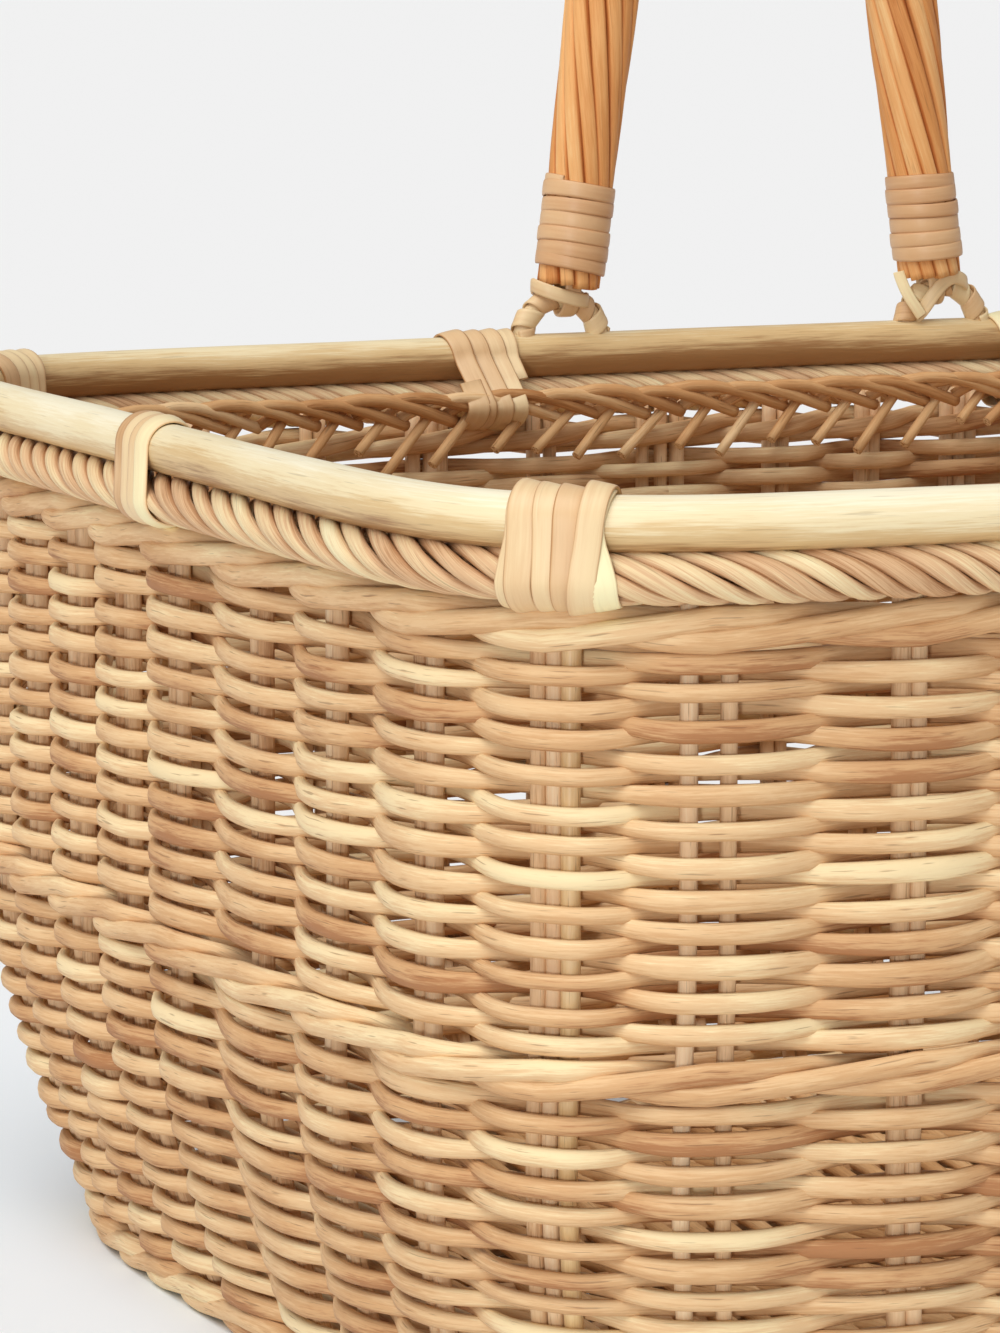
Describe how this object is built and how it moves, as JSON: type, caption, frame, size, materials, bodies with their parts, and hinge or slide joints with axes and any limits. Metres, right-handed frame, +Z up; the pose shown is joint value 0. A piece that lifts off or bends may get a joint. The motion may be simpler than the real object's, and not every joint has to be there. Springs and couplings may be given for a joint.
{
  "type": "picnic basket",
  "caption": "Open rectangular woven cane basket with rounded corners, a peeled pole lashed along its rim and two twisted bail handles that swing on cane rings.",
  "frame": {"origin": "on the ground at the middle of the foot, under the basket's centre", "axes": "+Z up, +X along the long side, +Y towards the back long side"},
  "size_m": [0.479, 0.3908, 0.3337],
  "materials": {
    "peeled_pole": "peeled cane, satin",
    "border_cane": "split cane, matt",
    "weave_cane": "round core cane, matt",
    "wale_cane": "round core cane, matt",
    "binding_cane": "flat chair cane, satin",
    "handle_cane": "split cane, satin",
    "base_cane": "round core cane, matt"
  },
  "bodies": {
    "basket": {"rim_pole": "peeled_pole", "rolled_border": "border_cane", "inner_plait": "border_cane", "top_wale": "wale_cane", "upper_weave": "weave_cane", "middle_wale": "wale_cane", "lower_weave": "weave_cane", "foot_border": "border_cane", "base_weave": "base_cane", "base_stick_1": "base_cane", "base_stick_2": "base_cane", "base_stick_3": "base_cane", "base_stick_4": "base_cane", "base_stick_5": "base_cane", "base_stick_6": "base_cane", "base_stick_7": "base_cane", "right_end_lashing": "binding_cane", "left_end_lashing": "binding_cane", "back_right_corner_lashing": "binding_cane", "back_left_corner_lashing": "binding_cane", "front_left_corner_lashing": "binding_cane", "front_right_corner_lashing": "binding_cane", "back_right_side_lashing": "binding_cane", "back_left_side_lashing": "binding_cane", "front_left_side_lashing": "binding_cane", "front_right_side_lashing": "binding_cane", "front_left_ring": "binding_cane", "front_right_ring": "binding_cane", "back_left_ring": "binding_cane", "back_right_ring": "binding_cane"},
    "front_handle": {"front_grip": "handle_cane", "front_left_strap": "binding_cane", "front_right_strap": "binding_cane", "front_left_wrap": "binding_cane", "front_right_wrap": "binding_cane"},
    "back_handle": {"back_grip": "handle_cane", "back_left_strap": "binding_cane", "back_right_strap": "binding_cane", "back_left_wrap": "binding_cane", "back_right_wrap": "binding_cane"}
  },
  "joints": [
    {"name": "front_handle_swing", "type": "hinge", "parent": "basket", "child": "front_handle", "pos_m": [0, -0.185, 0.212], "axis": [1, 0, 0], "range_deg": [-90, 90]},
    {"name": "back_handle_swing", "type": "hinge", "parent": "basket", "child": "back_handle", "pos_m": [0, 0.185, 0.212], "axis": [1, 0, 0], "range_deg": [-90, 90]}
  ]
}
